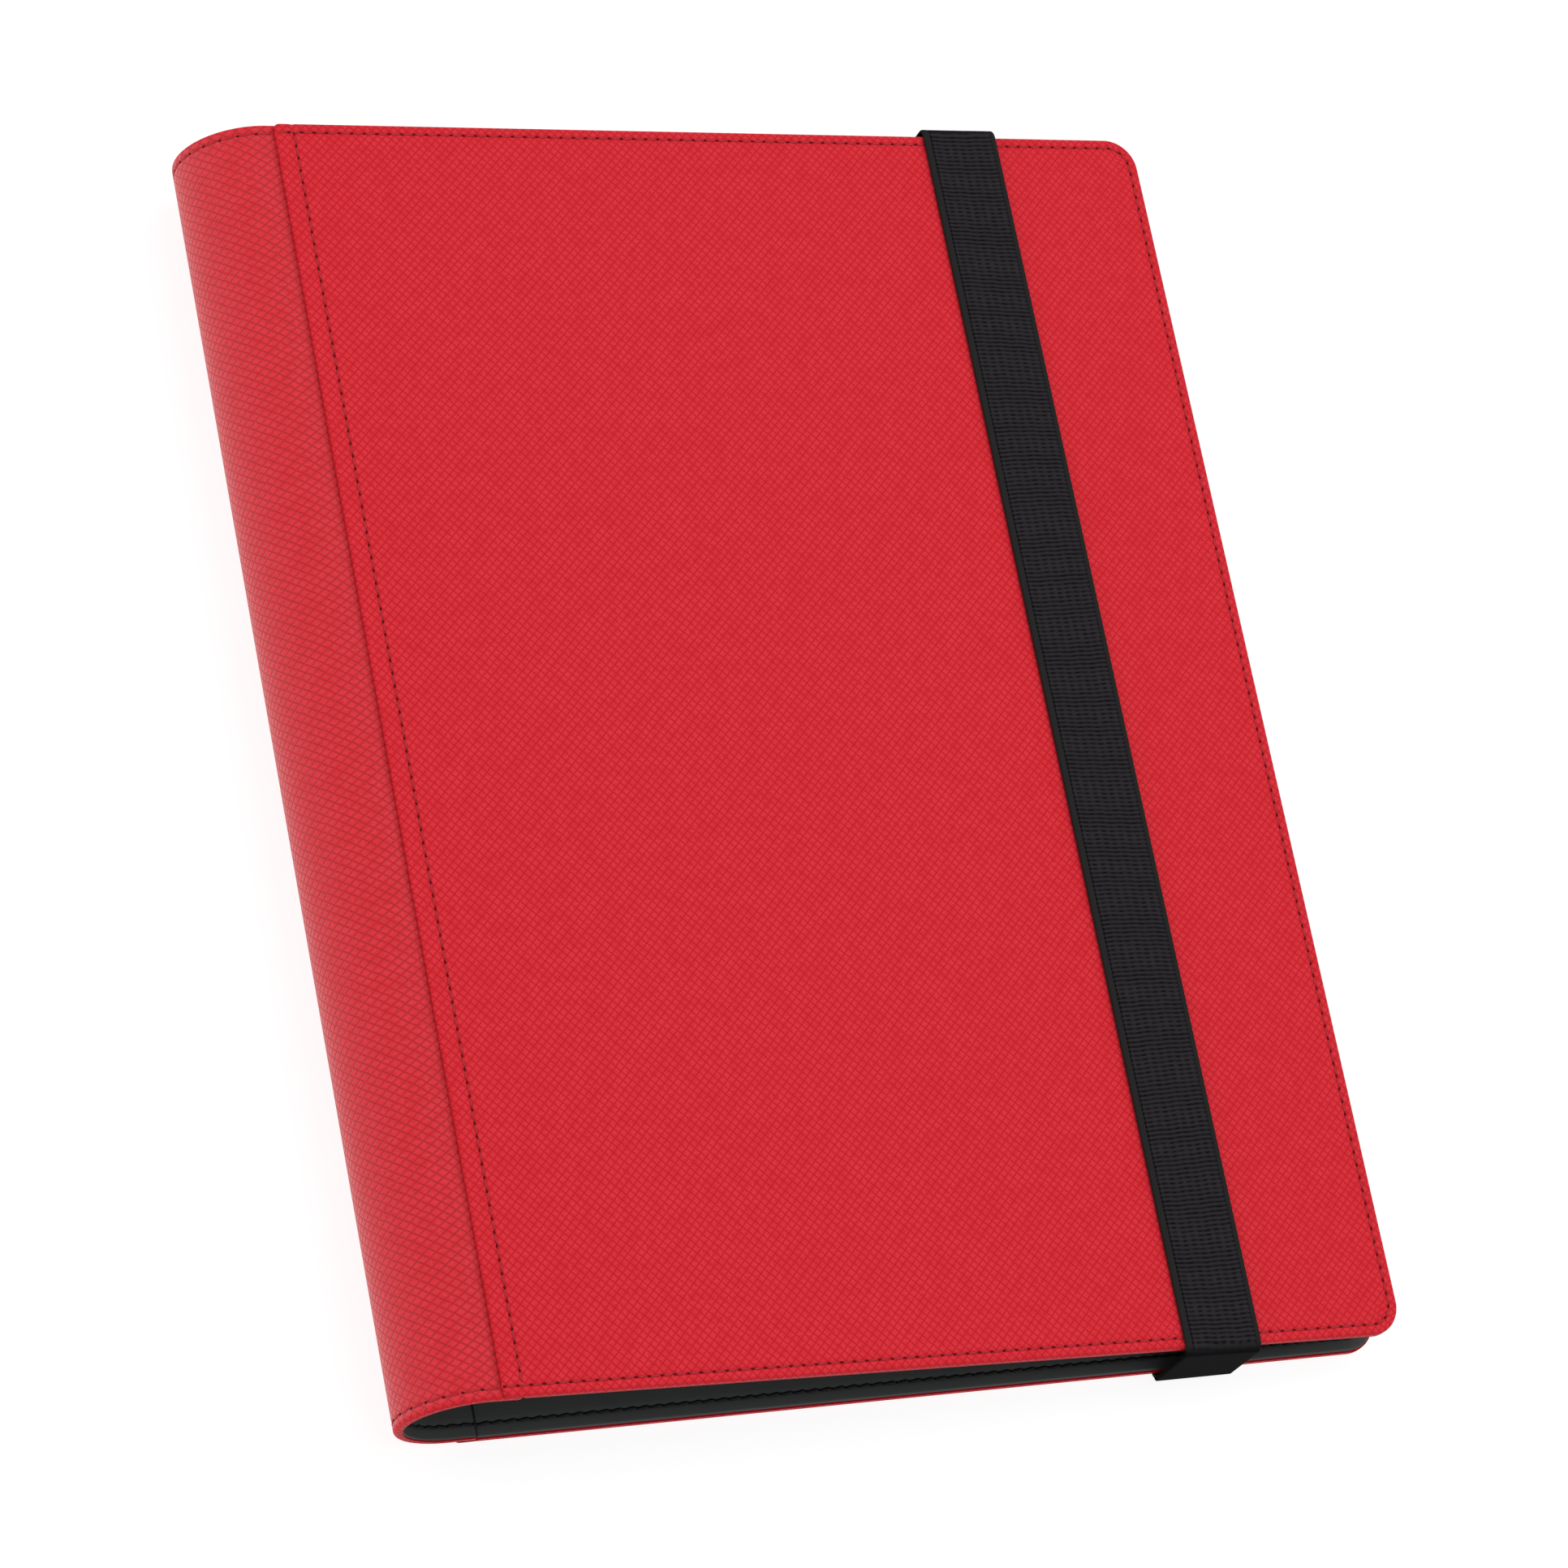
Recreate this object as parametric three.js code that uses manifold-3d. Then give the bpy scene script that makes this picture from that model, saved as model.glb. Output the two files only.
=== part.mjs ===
// A trading card binder: two padded covers on a soft round spine, twenty pocket leaves in two
// sewn blocks, and an elastic strap that runs over the front cover and keeps it shut.
//
// Millimetres, +Z up. The binder lies shut on its back cover. X runs from the spine to the
// fore-edge, Y from the bottom edge to the top edge. The origin is the centre of its footprint.
//
// Each half, front and back, is drawn in a frame whose origin is the axis of the round spine. In
// the back half's frame the back cover's outer face lies REACH below that axis. The front half is
// the same drawing turned upside down and tilted by WEDGE towards the fore-edge.
import * as THREE from 'three';
import { mergeVertices } from 'three/addons/utils/BufferGeometryUtils.js';
import Module from 'manifold-3d';

const wasm = await Module();
wasm.setup();

// ---- driving dimensions ----
const HEIGHT = 320;            // bottom edge to top edge of a cover
const WIDTH = 236;             // spine seam to fore-edge of a cover
const WEDGE = THREE.MathUtils.degToRad(5);
const REACH = 18.55;           // axis of the spine's curve to a cover's outer face
const SPINE_RADIUS = 17.44;    // outside of the spine skin
const SEAM_X = 1.39;           // where a cover starts, past the axis of the spine
const FORE_CORNER = 8;
const SEAM_CORNER = 1.5;
const GAP = 0.3;               // between pieces that lie on each other

const SKIN = 0.9;
const BOARD_FLOOR = SKIN + GAP;
const BOARD = 1.0;
const LINING_FLOOR = BOARD_FLOOR + BOARD + GAP;
const LINING = 0.6;
const RIM = 1.3;               // skin folded over the edge of the board
const LINING_INSET = 0.5;
const HEM = 5.2;               // cover skin that overlaps the spine skin

const SPINE_SKIN = 1.1;
const SPINE_LINING = 0.9;
const FOLDS = 8;               // bend lines that stand for the spine's even bend
const PANELS_IN_HALF = 3;      // rigid panels between a hinge strip and the middle panel

const THREAD = 0.6;
const THREAD_HEIGHT = 0.25;
const STITCH_INSET = 2.5;
const HEM_STITCH = 4.78;

const STRAP_START = 175.5;     // from the spine seam
const STRAP_WIDTH = 20.4;
const STRAP = 1.3;
const TAIL = 1.1;
const TAIL_LENGTH = 22;        // strap end on the back cover, from the edge in

const LEAVES_IN_HALF = 10;
const LEAF = 0.35;
const LEAF_HEIGHT = 300;
const LEAF_HINGE_X = -5;
const LEAF_END_X = 226;
const BLOCK_FACE_X = -6;
const LOWEST_HINGE = 5.2;      // from a cover's outer face to the first leaf's fold
const LOWEST_END = 3.5;
const MIDDLE_CLEARANCE = 0.28; // from the last leaf to the plane between the halves

const FOLD_ANGLE = (Math.PI + WEDGE) / FOLDS;
const HALF_WEDGE = WEDGE / 2;
const SLIT = GAP / SPINE_RADIUS;
const TOP_Y = HEIGHT / 2;
const FORE_X = SEAM_X + WIDTH;

// ---- materials ----
const skinRed = new THREE.MeshStandardMaterial({ color: 0xd02d37, roughness: 0.6 });
const spineRed = new THREE.MeshStandardMaterial({ color: 0xc82c35, roughness: 0.6 });
const liningBlack = new THREE.MeshStandardMaterial({ color: 0x2a2b29, roughness: 0.8 });
const greyboard = new THREE.MeshStandardMaterial({ color: 0x8a8378, roughness: 0.9 });
const threadRed = new THREE.MeshStandardMaterial({ color: 0x8b090e, roughness: 0.7 });
const elasticBlack = new THREE.MeshStandardMaterial({ color: 0x26292a, roughness: 0.9 });
const pageBlack = new THREE.MeshStandardMaterial({ color: 0x1c1d1e, roughness: 0.4 });
const bindingBlack = new THREE.MeshStandardMaterial({ color: 0x202122, roughness: 0.8 });

// ---- joining and cutting ----
function toSolid(geometry) {
  const bare = geometry.clone();
  bare.deleteAttribute('normal');
  bare.deleteAttribute('uv');
  const merged = mergeVertices(bare, 1e-4);
  return new wasm.Manifold(new wasm.Mesh({
    numProp: 3,
    vertProperties: new Float32Array(merged.attributes.position.array),
    triVerts: new Uint32Array(merged.index.array),
  }));
}

function cut(geometry, ...tools) {
  let solid = toSolid(geometry);
  for (const tool of tools) {
    solid = solid.subtract(toSolid(tool));
  }
  const mesh = solid.getMesh();
  const result = new THREE.BufferGeometry();
  result.setAttribute('position', new THREE.BufferAttribute(mesh.vertProperties, 3));
  result.setIndex(new THREE.BufferAttribute(mesh.triVerts, 1));
  result.computeVertexNormals();
  return result;
}

// ---- outlines and the two halves ----
// flip(z) takes a height above a cover's outer face to the half's own frame.
const halves = [
  { name: 'back', flip: (z) => z - REACH, group: new THREE.Group() },
  { name: 'front', flip: (z) => REACH - z, group: new THREE.Group() },
];
halves[1].group.rotation.y = WEDGE;

function roundedOutline(x0, x1, halfY, foreRadius, seamRadius) {
  const outline = new THREE.Shape();
  outline.moveTo(x0 + seamRadius, -halfY);
  outline.absarc(x1 - foreRadius, -halfY + foreRadius, foreRadius, -Math.PI / 2, 0);
  outline.absarc(x1 - foreRadius, halfY - foreRadius, foreRadius, 0, Math.PI / 2);
  outline.absarc(x0 + seamRadius, halfY - seamRadius, seamRadius, Math.PI / 2, Math.PI);
  outline.absarc(x0 + seamRadius, -halfY + seamRadius, seamRadius, Math.PI, 1.5 * Math.PI);
  return outline;
}

// A flat piece between two heights above the cover's outer face.
function plate(half, outline, low, high) {
  const geometry = new THREE.ExtrudeGeometry(outline, {
    depth: high - low,
    bevelEnabled: false,
    curveSegments: 6,
  });
  const floor = Math.min(half.flip(low), half.flip(high));
  return geometry.translate(0, 0, floor);
}

function box(half, x0, x1, y0, y1, low, high) {
  const geometry = new THREE.BoxGeometry(x1 - x0, y1 - y0, high - low);
  return geometry.translate((x0 + x1) / 2, (y0 + y1) / 2, half.flip((low + high) / 2));
}

// A section in the XZ plane, drawn out along Y.
function drawnAlongY(points, length) {
  const geometry = new THREE.ExtrudeGeometry(new THREE.Shape(points), {
    depth: length,
    bevelEnabled: false,
  });
  return geometry.translate(0, 0, -length / 2).rotateX(Math.PI / 2);
}

// Points on a circle about the spine's axis. Angles are measured in the XZ plane, from +X to +Z.
function arcPoints(radius, from, to, steps) {
  const points = [];
  for (let i = 0; i <= steps; i += 1) {
    const angle = from + ((to - from) * i) / steps;
    points.push(new THREE.Vector2(radius * Math.cos(angle), radius * Math.sin(angle)));
  }
  return points;
}

function shellSection(outer, thickness, from, to, steps) {
  return [
    ...arcPoints(outer, from, to, steps),
    ...arcPoints(outer - thickness, to, from, steps),
  ];
}

function part(parent, name, geometry, material) {
  const mesh = new THREE.Mesh(geometry, material);
  mesh.name = name;
  parent.add(mesh);
  return mesh;
}

// ---- covers ----
function stitchRing(half, halfWidth, depth) {
  const x0 = SEAM_X + HEM_STITCH;
  const x1 = FORE_X - STITCH_INSET;
  const halfY = TOP_Y - STITCH_INSET;
  const radius = FORE_CORNER - STITCH_INSET;
  const ring = roundedOutline(
    x0 - halfWidth, x1 + halfWidth, halfY + halfWidth, radius + halfWidth, halfWidth + 0.2,
  );
  ring.holes.push(roundedOutline(
    x0 + halfWidth, x1 - halfWidth, halfY - halfWidth, radius - halfWidth, 0.1,
  ));
  return plate(half, ring, 0, depth);
}

function coverSkin(half) {
  const body = plate(
    half, roundedOutline(SEAM_X, FORE_X, TOP_Y, FORE_CORNER, SEAM_CORNER), 0,
    LINING_FLOOR - GAP,
  );
  const pocket = plate(
    half,
    roundedOutline(
      SEAM_X - 5, FORE_X - RIM, TOP_Y - RIM, FORE_CORNER - RIM, 1,
    ),
    SKIN, LINING_FLOOR + 1,
  );
  const underHem = box(
    half, SEAM_X - 1, SEAM_X + HEM, -TOP_Y - 1, TOP_Y + 1, SKIN, LINING_FLOOR + 1,
  );
  const tools = [pocket, underHem, stitchRing(half, THREAD, THREAD_HEIGHT + GAP)];
  if (half.name === 'back') {
    tools.push(...tailChannels(half, LINING_FLOOR + 1));
  }
  return cut(body, ...tools);
}

function coverBoard(half) {
  const outline = roundedOutline(
    SEAM_X + HEM + GAP, FORE_X - RIM - GAP, TOP_Y - RIM - GAP, FORE_CORNER - RIM - GAP, 1,
  );
  const body = plate(half, outline, BOARD_FLOOR, BOARD_FLOOR + BOARD);
  if (half.name === 'front') {
    return body;
  }
  return cut(body, ...tailChannels(half, TAIL + GAP));
}

function coverLining(half) {
  const outline = roundedOutline(
    SEAM_X + HEM, FORE_X - LINING_INSET, TOP_Y - LINING_INSET, FORE_CORNER - LINING_INSET, 1,
  );
  return plate(half, outline, LINING_FLOOR, LINING_FLOOR + LINING);
}

// The row round the front cover is whole. On the back cover the strap's ends part it in two.
function addStitching(half, label) {
  const row = stitchRing(half, THREAD / 2, THREAD_HEIGHT);
  if (half.name === 'front') {
    part(half.group, `${label}_stitching`, row, threadRed);
    return;
  }
  const [x0, x1] = strapEdges();
  const foreSide = box(half, x0 - GAP, FORE_X + 1, -TOP_Y, TOP_Y, -1, SKIN);
  const hemSide = box(half, 0, x1 + GAP, -TOP_Y, TOP_Y, -1, SKIN);
  part(half.group, `${label}_stitching_hem`, cut(row, foreSide), threadRed);
  part(half.group, `${label}_stitching_fore`, cut(row, hemSide), threadRed);
}

function addCover(half) {
  const label = `${half.name}_cover`;
  part(half.group, `${label}_skin`, coverSkin(half), skinRed);
  part(half.group, `${label}_board`, coverBoard(half), greyboard);
  part(half.group, `${label}_lining`, coverLining(half), liningBlack);
  addStitching(half, label);
}

// ---- spine ----
// Next to each cover the spine skin and lining run flat under the cover's hem.
function hingeSection(half, outer, thickness) {
  const sign = half.name === 'back' ? 1 : -1;
  const from = sign * (-Math.PI / 2);
  const to = from - sign * (FOLD_ANGLE / 2 - SLIT / 2);
  const tabEnd = SEAM_X + HEM - GAP;
  return [
    new THREE.Vector2(tabEnd, -sign * outer),
    ...arcPoints(outer, from, to, 6),
    ...arcPoints(outer - thickness, to, from, 6),
    new THREE.Vector2(tabEnd, -sign * (outer - thickness)),
  ];
}

function panelSection(from, to, outer, thickness) {
  return shellSection(outer, thickness, from + SLIT / 2, to - SLIT / 2, 8);
}

function addSpine(middle) {
  const layers = [
    { label: 'skin', outer: SPINE_RADIUS, thickness: SPINE_SKIN, length: HEIGHT, red: true },
    {
      label: 'lining',
      outer: SPINE_RADIUS - SPINE_SKIN - GAP,
      thickness: SPINE_LINING,
      length: HEIGHT - 2 * LINING_INSET,
      red: false,
    },
  ];
  for (const { label, outer, thickness, length, red } of layers) {
    const material = red ? spineRed : liningBlack;
    for (const half of halves) {
      const sign = half.name === 'back' ? 1 : -1;
      part(half.group, `${half.name}_hinge_${label}`,
        drawnAlongY(hingeSection(half, outer, thickness), length), material);
      for (let index = 1; index <= PANELS_IN_HALF; index += 1) {
        const first = sign * (-Math.PI / 2 - FOLD_ANGLE * (index - 0.5));
        const second = first - sign * FOLD_ANGLE;
        const section = panelSection(Math.min(first, second), Math.max(first, second), outer,
          thickness);
        part(half.group, `spine_${half.name}_${index}_${label}`, drawnAlongY(section, length),
          material);
      }
    }
    const centre = panelSection(Math.PI - FOLD_ANGLE / 2, Math.PI + FOLD_ANGLE / 2, outer,
      thickness);
    part(middle, `spine_middle_${label}`, drawnAlongY(centre, length), material);
  }
}

// ---- pages ----
// The sewn inner margins of one half's leaves, packed against the inside of the round spine.
function bindingBlock(half) {
  const sign = half.name === 'back' ? 1 : -1;
  const radius = SPINE_RADIUS - SPINE_SKIN - SPINE_LINING - 2 * GAP;
  const low = Math.PI + Math.acos(-BLOCK_FACE_X / radius);
  const high = Math.PI - HALF_WEDGE + GAP / radius;
  const curve = arcPoints(radius, low, high, 10);
  const lastZ = -BLOCK_FACE_X * Math.tan(HALF_WEDGE) - GAP;
  const section = [...curve, new THREE.Vector2(BLOCK_FACE_X, lastZ)];
  return drawnAlongY(section.map((p) => new THREE.Vector2(p.x, sign * p.y)), LEAF_HEIGHT);
}

function leafHeights(index) {
  const share = index / (LEAVES_IN_HALF - 1);
  const middleAt = (x) => REACH - x * Math.tan(HALF_WEDGE) - MIDDLE_CLEARANCE;
  const lastHinge = middleAt(LEAF_HINGE_X) - MIDDLE_CLEARANCE;
  const lastEnd = middleAt(LEAF_END_X);
  return {
    hinge: THREE.MathUtils.lerp(LOWEST_HINGE, lastHinge, share),
    end: THREE.MathUtils.lerp(LOWEST_END, lastEnd, share),
  };
}

function addLeaves(half) {
  const span = LEAF_END_X - LEAF_HINGE_X;
  for (let index = 0; index < LEAVES_IN_HALF; index += 1) {
    const { hinge, end } = leafHeights(index);
    const length = Math.hypot(span, end - hinge);
    const geometry = new THREE.BoxGeometry(length, LEAF_HEIGHT, LEAF);
    geometry.translate(length / 2, 0, 0);
    const fromBack = half.name === 'back' ? index + 1 : 2 * LEAVES_IN_HALF - index;
    const leaf = part(half.group, `leaf_${String(fromBack).padStart(2, '0')}`, geometry,
      pageBlack);
    leaf.position.set(LEAF_HINGE_X, 0, half.flip(hinge));
    leaf.rotation.y = Math.atan2(half.flip(hinge) - half.flip(end), span);
  }
}

// ---- strap ----
function strapEdges() {
  const along = (s) => (SEAM_X + s) * Math.cos(WEDGE) + REACH * Math.sin(WEDGE);
  return [along(STRAP_START), along(STRAP_START + STRAP_WIDTH)];
}

function tailChannels(half, depth) {
  const [x0, x1] = strapEdges();
  const inner = TOP_Y - TAIL_LENGTH - GAP;
  return [-1, 1].map((side) => box(
    half, x0 - GAP, x1 + GAP,
    side > 0 ? inner : -TOP_Y - 1, side > 0 ? TOP_Y + 1 : -inner,
    -1, depth,
  ));
}

// The run over the front cover and the two wraps down its edges. The section lies in the YZ
// plane; its upper part then leans with the front cover.
function strapLoop() {
  const [x0, x1] = strapEdges();
  const wall = TOP_Y + GAP;
  const middleX = (x0 + x1) / 2;
  const slope = Math.tan(WEDGE);
  const coverTop = REACH / Math.cos(WEDGE) - middleX * slope;
  const under = coverTop + GAP;
  const low = TAIL + GAP - REACH;
  const outline = new THREE.Shape();
  outline.moveTo(-wall - STRAP, low);
  outline.lineTo(-wall, low);
  outline.lineTo(-wall, under);
  outline.lineTo(wall, under);
  outline.lineTo(wall, low);
  outline.lineTo(wall + STRAP, low);
  outline.absarc(wall, under, STRAP, 0, Math.PI / 2);
  outline.absarc(-wall, under, STRAP, Math.PI / 2, Math.PI);
  const geometry = new THREE.ExtrudeGeometry(outline, {
    depth: x1 - x0,
    bevelEnabled: false,
    curveSegments: 4,
  });
  geometry.rotateX(Math.PI / 2).rotateZ(Math.PI / 2).translate(x0, 0, 0);
  const position = geometry.attributes.position;
  for (let i = 0; i < position.count; i += 1) {
    const share = (position.getZ(i) - low) / (under - low);
    const lean = Math.min(share, 1) * (position.getX(i) - middleX) * slope;
    position.setZ(i, position.getZ(i) - lean);
  }
  return geometry;
}

function addStrap(root, back) {
  const [x0, x1] = strapEdges();
  part(root, 'elastic_strap', strapLoop(), elasticBlack);
  const outer = TOP_Y + GAP + STRAP;
  const inner = TOP_Y - TAIL_LENGTH;
  for (const [name, side] of [['bottom', -1], ['top', 1]]) {
    const y0 = Math.min(side * inner, side * outer);
    const y1 = Math.max(side * inner, side * outer);
    part(back.group, `strap_tail_${name}`, box(back, x0, x1, y0, y1, 0, TAIL), elasticBlack);
  }
}

// ---- assembly ----
const spineFrame = new THREE.Group();
const middleOfSpine = new THREE.Group();
middleOfSpine.rotation.y = HALF_WEDGE;
spineFrame.add(halves[0].group, halves[1].group, middleOfSpine);
for (const half of halves) {
  addCover(half);
  part(half.group, `${half.name}_page_binding`, bindingBlock(half), bindingBlack);
  addLeaves(half);
}
addSpine(middleOfSpine);
addStrap(spineFrame, halves[0]);

const foreEdge = FORE_X * Math.cos(WEDGE) + REACH * Math.sin(WEDGE);
spineFrame.position.set((SPINE_RADIUS - foreEdge) / 2, 0, REACH);
const binder = new THREE.Group();
binder.add(spineFrame);
export default binder;
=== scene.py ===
import math

import bmesh
import bpy
import numpy as np
from mathutils import Matrix, Vector


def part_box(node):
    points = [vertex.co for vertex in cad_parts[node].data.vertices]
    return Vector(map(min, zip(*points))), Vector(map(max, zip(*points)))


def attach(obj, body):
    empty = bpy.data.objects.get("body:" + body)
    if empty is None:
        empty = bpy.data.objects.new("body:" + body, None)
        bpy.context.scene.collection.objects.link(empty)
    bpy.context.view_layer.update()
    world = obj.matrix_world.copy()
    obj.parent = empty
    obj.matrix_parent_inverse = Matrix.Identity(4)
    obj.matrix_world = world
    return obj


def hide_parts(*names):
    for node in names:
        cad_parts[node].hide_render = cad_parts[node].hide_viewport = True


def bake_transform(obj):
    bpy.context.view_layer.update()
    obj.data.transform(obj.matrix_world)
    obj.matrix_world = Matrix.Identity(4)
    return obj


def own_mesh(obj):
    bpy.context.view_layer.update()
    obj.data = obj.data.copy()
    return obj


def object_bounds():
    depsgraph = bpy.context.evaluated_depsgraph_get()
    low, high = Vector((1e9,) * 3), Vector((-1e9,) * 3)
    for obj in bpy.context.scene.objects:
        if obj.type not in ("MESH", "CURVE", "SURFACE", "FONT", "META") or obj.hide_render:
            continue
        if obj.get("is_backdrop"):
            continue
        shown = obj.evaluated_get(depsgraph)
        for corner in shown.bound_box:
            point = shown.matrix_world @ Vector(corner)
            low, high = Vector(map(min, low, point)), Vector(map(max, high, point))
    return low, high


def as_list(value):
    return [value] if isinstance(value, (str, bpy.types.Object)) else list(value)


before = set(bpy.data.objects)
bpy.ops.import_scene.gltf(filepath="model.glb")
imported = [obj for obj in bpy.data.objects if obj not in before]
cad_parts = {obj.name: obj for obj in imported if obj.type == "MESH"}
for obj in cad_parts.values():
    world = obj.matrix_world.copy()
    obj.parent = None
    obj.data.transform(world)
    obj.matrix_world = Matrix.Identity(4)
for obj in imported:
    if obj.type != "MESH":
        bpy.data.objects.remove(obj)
cad_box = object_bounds()

# Lengths are in millimetres, and MM takes them to metres.
#
# A cover is drawn in the half's own frame: x from the spine's axis towards the fore-edge, y
# up the cover, and h the depth below the cover's outer face. The front half is the back half
# turned upside down and tilted by WEDGE. The spine is drawn in (s, y, h), where s is the
# distance along the outside of its curve, from the back cover to the front cover.
MM = 0.001
WEDGE = math.radians(5)
REACH = 18.55
SPINE_RADIUS = 17.44
SPINE_LENGTH = SPINE_RADIUS * (math.pi + WEDGE)

back_low, back_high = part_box("back_cover_skin")
SEAM_X = 1.39
AXIS_X = back_low[0] / MM - SEAM_X
FORE_X = back_high[0] / MM - AXIS_X
TOP_Y = back_high[1] / MM
FORE_CORNER = 8.0
SEAM_CORNER = 1.5

SKIN = 0.9
RIM_DEPTH = 2.2
RIM_WIDTH = 1.3
RIM_STEP = 0.3
EDGE_ROUND = 0.95
SEAM_ROUND = 0.6
LINING_TOP = 2.5
LINING_FACE = 3.1
HEM = 5.2
SPINE_SKIN = 1.1
SPINE_RIM = 2.1
SPINE_LINING_FACE = 2.35
TAB_END = SEAM_X + HEM - 0.3
RIM_END_Y = TOP_Y - RIM_WIDTH - RIM_STEP - 0.1

# Depth and width of the sunk stitch rows, and of the spine's crease beside a hem.
COVER_ROW = (0.26, 0.55)
SPINE_ROW = (0.24, 0.5)
LINING_ROW = (0.18, 0.45)
SPINE_LINING_ROW = (0.15, 0.4)
HEM_CREASE = (0.45, 0.8)

STITCH_INSET = 2.5
HEM_STITCH = 4.78
STITCH_PITCH = 3.25
SPINE_STITCH_PITCH = 4.4
LINING_STITCH_INSET = 3.5
LINING_INSET = 0.4
LINING_ROUND = 0.4
SPINE_LINING_ROUND = 0.25

STRAP_X0 = (SEAM_X + 175.5) * math.cos(WEDGE) + REACH * math.sin(WEDGE)
STRAP_WIDTH = 20.4 * math.cos(WEDGE)
STRAP_THICK = 1.15
TAIL_DEPTH = 1.1
TAIL_LENGTH = 22.0
TAIL_SEWING_DEPTH = 0.2

LEAVES_IN_HALF = 10
LEAF_HEIGHT = 300.0
LEAF_HINGE_X = -5.0
LEAF_END_X = 226.0
LEAF_CLEARANCE = 0.28
OUTER_FOLD_DEPTH = 5.2
OUTER_END_DEPTH = 3.5
BLOCK_FACE_X = -6.0


# ---- places ----
def place_back(x, y, h):
    return np.stack([x + AXIS_X, y, h], axis=-1)


def place_front(x, y, h):
    up = REACH - h
    across = x * math.cos(WEDGE) + up * math.sin(WEDGE)
    height = up * math.cos(WEDGE) - x * math.sin(WEDGE) + REACH
    return np.stack([across + AXIS_X, y, height], axis=-1)


def place_spine(s, y, h):
    """The round part, and the flat tabs before and after it that lie under the covers' hems."""
    on_curve = np.clip(s, 0, SPINE_LENGTH)
    angle = -math.pi / 2 - on_curve / SPINE_RADIUS
    radius = SPINE_RADIUS - h
    beyond = s - on_curve
    x = radius * np.cos(angle) + beyond * np.sin(angle)
    z = radius * np.sin(angle) - beyond * np.cos(angle)
    return np.stack([x + AXIS_X, y, z + REACH], axis=-1)


PLACE = {"back": place_back, "front": place_front}
HALVES = tuple(PLACE)


# ---- mesh making ----
SHARP_ANGLE = math.radians(50)


def add_object(name, data):
    obj = bpy.data.objects.new(name, data)
    bpy.context.scene.collection.objects.link(obj)
    return obj


def corner_vertices(mesh):
    """The vertex at each corner of the mesh's faces."""
    index = np.empty(len(mesh.loops), dtype=np.int32)
    mesh.loops.foreach_get("vertex_index", index)
    return index


def new_object(name, verts_mm, faces, uv_mm=None, materials=(), face_material=None):
    mesh = bpy.data.meshes.new(name)
    mesh.from_pydata((np.asarray(verts_mm) * MM).tolist(), [], faces)
    if uv_mm is not None:
        layer = mesh.uv_layers.new(name="UVMap")
        corner_uv = np.asarray(uv_mm, dtype=np.float32)[corner_vertices(mesh)]
        layer.data.foreach_set("uv", corner_uv.ravel())
    for material in materials:
        mesh.materials.append(material)
    if face_material is not None:
        mesh.polygons.foreach_set("material_index", np.asarray(face_material, dtype=np.int32))
    clean = bmesh.new()
    clean.from_mesh(mesh)
    bmesh.ops.remove_doubles(clean, verts=clean.verts, dist=1e-7)
    bmesh.ops.dissolve_degenerate(clean, edges=clean.edges, dist=1e-8)
    bmesh.ops.recalc_face_normals(clean, faces=clean.faces)
    clean.to_mesh(mesh)
    clean.free()
    mesh.polygons.foreach_set("use_smooth", [True] * len(mesh.polygons))
    return add_object(name, mesh)


def grid_faces(columns, rows, start=0):
    i, j = np.meshgrid(np.arange(columns - 1), np.arange(rows - 1), indexing="ij")
    a = start + i * rows + j
    return np.stack([a, a + rows, a + rows + 1, a + 1], axis=-1).reshape(-1, 4)


def ribbon(name, us, vs, top, bottom, place, materials):
    """A slab whose underside spans its whole width with one face for each row."""
    u, v = np.meshgrid(us, vs, indexing="ij")
    under_u, under_v = np.meshgrid(us[[0, -1]], vs, indexing="ij")
    points = [
        place(*top(u, v)).reshape(-1, 3), place(*bottom(under_u, under_v)).reshape(-1, 3),
    ]
    columns, rows = len(us), len(vs)
    count = columns * rows
    left, right = np.arange(rows), (columns - 1) * rows + np.arange(rows)
    faces = grid_faces(columns, rows).tolist()
    faces += grid_faces(2, rows, count)[:, ::-1].tolist()
    for edge, under in ((left, count + left), (right, count + rows + left)):
        faces += np.stack([edge[:-1], edge[1:], under[1:], under[:-1]], axis=-1).tolist()
    for row in (0, rows - 1):
        across = (np.arange(columns) * rows + row).tolist()
        faces.append(across + [count + rows + row, count + row])
    uv = [np.stack([a.ravel(), b.ravel()], axis=-1) for a, b in ((u, v), (under_u, under_v))]
    piece = new_object(name, np.concatenate(points), faces, np.concatenate(uv), materials)
    piece.data.set_sharp_from_angle(angle=SHARP_ANGLE)
    return piece


def slab(name, us, vs, top, bottom, place, materials):
    """A closed sheet over the grid us x vs. top and bottom take the grid's (u, v) to (x, y, h),
    and meet along the grid's border, or are joined there by a wall."""
    u, v = np.meshgrid(us, vs, indexing="ij")
    points = [place(*surface(u, v)).reshape(-1, 3) for surface in (top, bottom)]
    columns, rows = len(us), len(vs)
    count = columns * rows
    faces = [grid_faces(columns, rows), grid_faces(columns, rows, count)[:, ::-1]]
    border = np.concatenate([
        np.arange(columns) * rows,
        (columns - 1) * rows + np.arange(1, rows),
        np.arange(columns - 2, -1, -1) * rows + rows - 1,
        np.arange(rows - 2, 0, -1),
    ])
    following = np.roll(border, -1)
    faces.append(np.stack([border, border + count, following + count, following], axis=-1))
    uv = np.stack([u.ravel(), v.ravel()], axis=-1)
    piece = new_object(
        name, np.concatenate(points), np.concatenate(faces).tolist(), np.tile(uv, (2, 1)),
        materials,
    )
    piece.data.set_sharp_from_angle(angle=SHARP_ANGLE)
    return piece


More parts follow.
